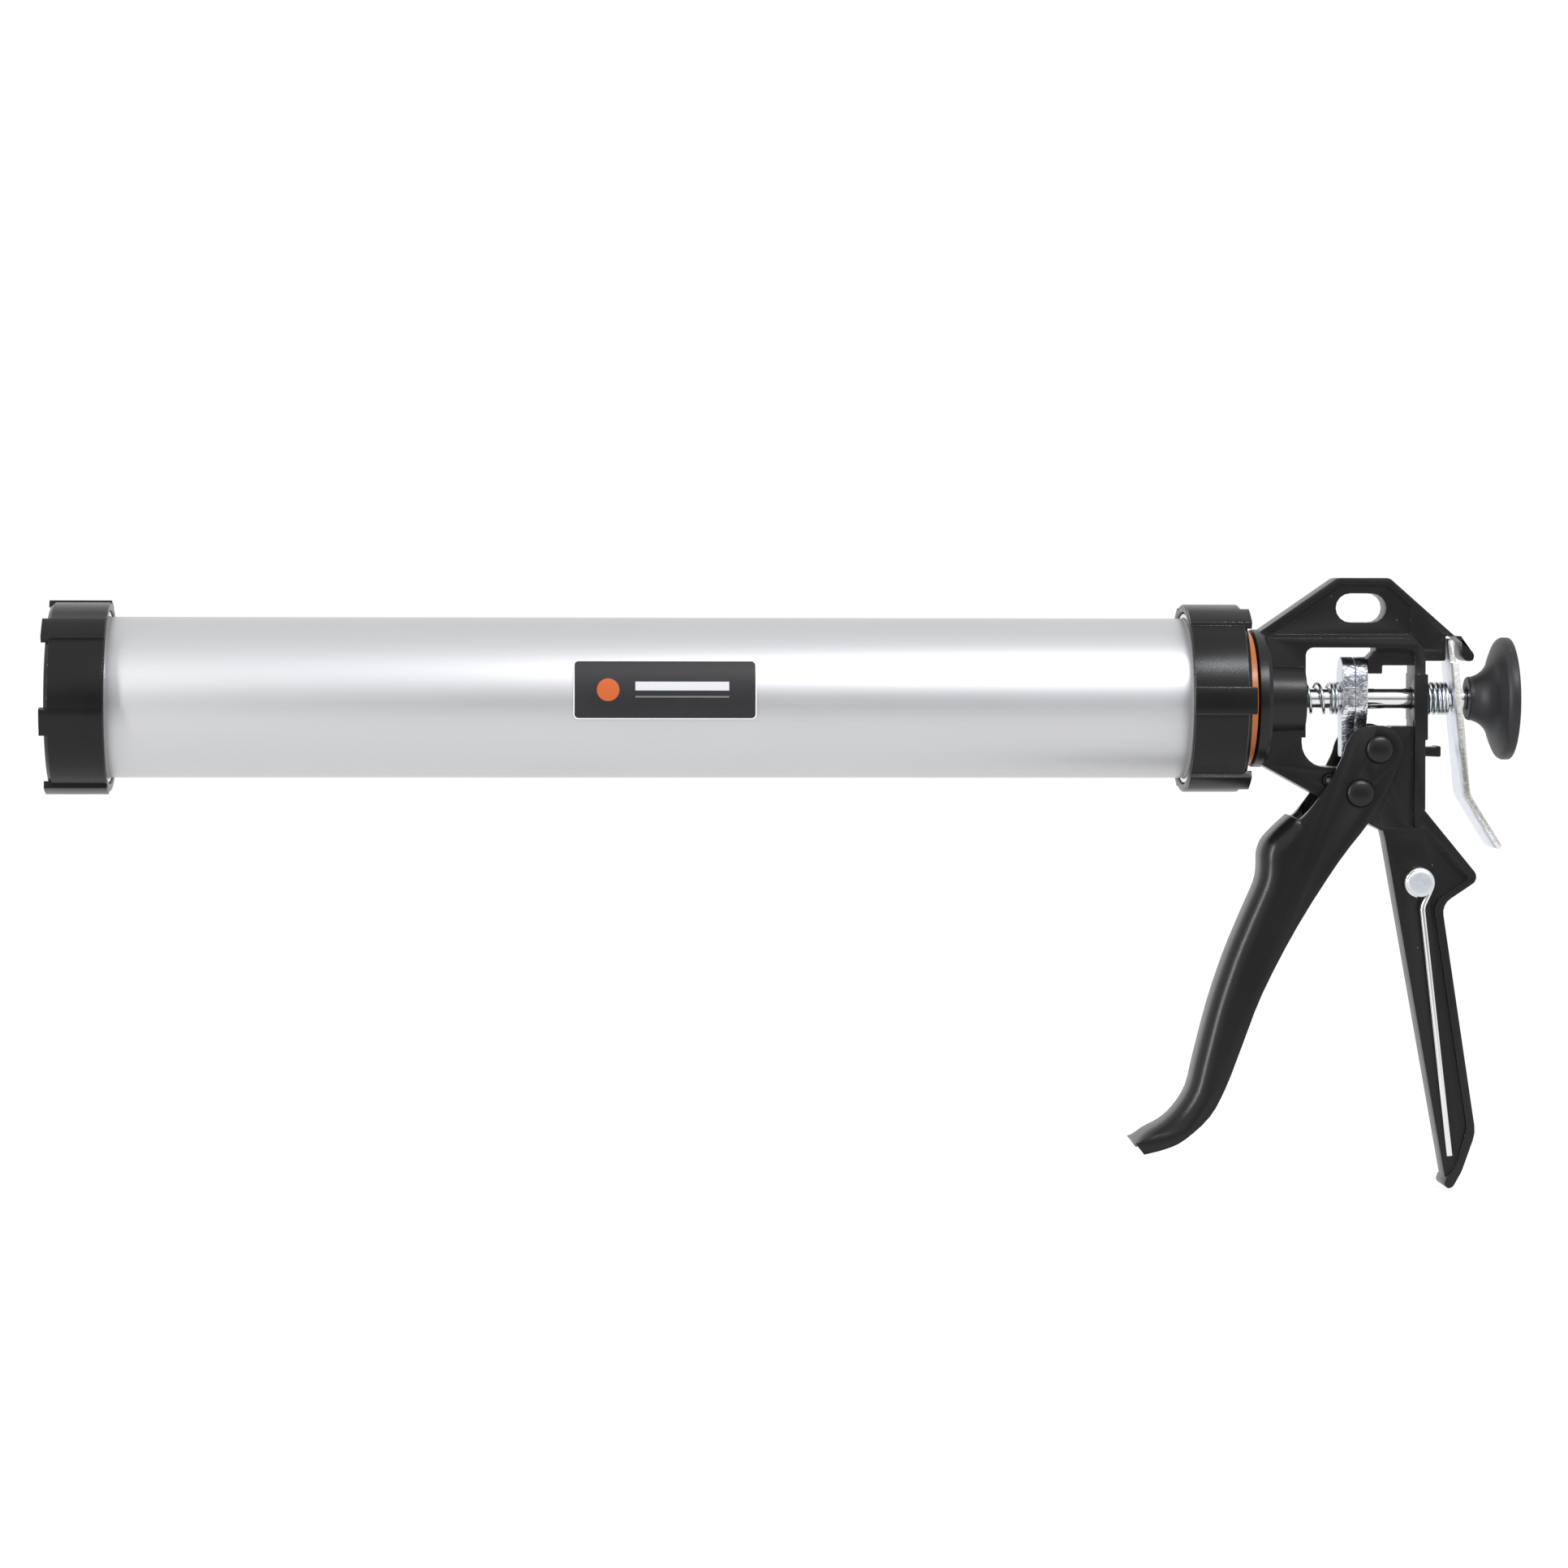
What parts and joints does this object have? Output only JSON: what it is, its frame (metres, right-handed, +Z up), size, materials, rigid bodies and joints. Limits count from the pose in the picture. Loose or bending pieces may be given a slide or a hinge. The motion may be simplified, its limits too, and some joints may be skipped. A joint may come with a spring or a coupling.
{
  "type": "caulking gun",
  "caption": "Closed-barrel caulking gun for foil packs: aluminium tube with screw caps, plunger rod with piston and knob, squeeze trigger, drive plates and release plate on a die-cast frame.",
  "frame": {"origin": "centre of the pull knob's flat rear face, on the barrel's axis, with the plunger pushed fully forward", "axes": "+X along the barrel from the front cap to the knob, +Z up through the hanging gable with the handle hanging down, -Y is the side with the foil piercer"},
  "size_m": [0.4763, 0.0632, 0.1989],
  "materials": {
    "black_paint": "satin black powder coat",
    "trigger_paint": "smooth semi-gloss black",
    "black_plastic": "satin black moulding",
    "knob_plastic": "matte black moulding",
    "anodised_aluminium": "satin anodised",
    "orange_plastic": "satin orange moulding",
    "label_film": "dark printed film",
    "bright_steel": "bright plated",
    "zinc_plate": "bright zinc plated",
    "spring_wire": "bright drawn wire",
    "piston_plastic": "natural moulding",
    "black_rubber": "matte"
  },
  "bodies": {
    "frame": {"frame_casting": "black_paint", "trigger_stop_pin": "black_paint", "trigger_pivot_rivet": "trigger_paint", "piercer_rivet": "zinc_plate", "retaining_ring": "zinc_plate", "swivel_ring": "orange_plastic", "drive_spring": "spring_wire", "release_spring": "spring_wire"},
    "barrel": {"barrel_tube": "anodised_aluminium", "rear_cap": "black_plastic", "front_thread_collar": "anodised_aluminium", "rear_thread_collar": "anodised_aluminium", "barrel_seat": "anodised_aluminium", "barrel_label": "label_film"},
    "front_cap": {"front_cap": "black_plastic"},
    "plunger": {"plunger_rod": "bright_steel", "pull_knob": "knob_plastic", "piston_disc": "piston_plastic", "piston_seal": "black_rubber", "piston_backing_plate": "zinc_plate", "piston_nut": "zinc_plate"},
    "drive_plates": {"drive_plate_front": "zinc_plate", "drive_plate_rear": "zinc_plate"},
    "release_plate": {"release_plate": "zinc_plate"},
    "trigger": {"trigger": "trigger_paint", "drive_pin": "trigger_paint"},
    "foil_piercer": {"foil_piercer": "bright_steel"}
  },
  "joints": [
    {"name": "barrel_swivel", "type": "hinge", "parent": "frame", "child": "barrel", "pos_m": [-0.09, 0, 0], "axis": [1, 0, 0], "continuous": true},
    {"name": "front_cap_slide", "type": "slide", "parent": "barrel", "child": "front_cap", "axis": [-1, 0, 0], "range_m": [0, 0.03]},
    {"name": "plunger_slide", "type": "slide", "parent": "frame", "child": "plunger", "axis": [1, 0, 0], "range_m": [0, 0.35]},
    {"name": "trigger_squeeze", "type": "hinge", "parent": "frame", "child": "trigger", "pos_m": [-0.0509, 0, -0.0305], "axis": [0, -1, 0], "range_deg": [0, 28], "stiffness_Nm_per_rad": 0.6, "springref_deg": -20.05},
    {"name": "drive_plates_slide", "type": "slide", "parent": "frame", "child": "drive_plates", "axis": [-1, 0, 0], "range_m": [0, 0.0076], "deforming": ["drive_spring"]},
    {"name": "release_tilt", "type": "hinge", "parent": "frame", "child": "release_plate", "pos_m": [-0.0203, 0, 0.0196], "axis": [0, 1, 0], "range_deg": [0, 7], "stiffness_Nm_per_rad": 0.2, "springref_deg": -11.46, "deforming": ["release_spring"]},
    {"name": "piercer_swing", "type": "hinge", "parent": "frame", "child": "foil_piercer", "pos_m": [-0.0309, -0.00845, -0.0598], "axis": [0, -1, 0], "range_deg": [0, 95]}
  ],
  "couplings": [
    {"joint": "drive_plates_slide", "follows": "trigger_squeeze", "m_per_rad": 0.01525}
  ]
}
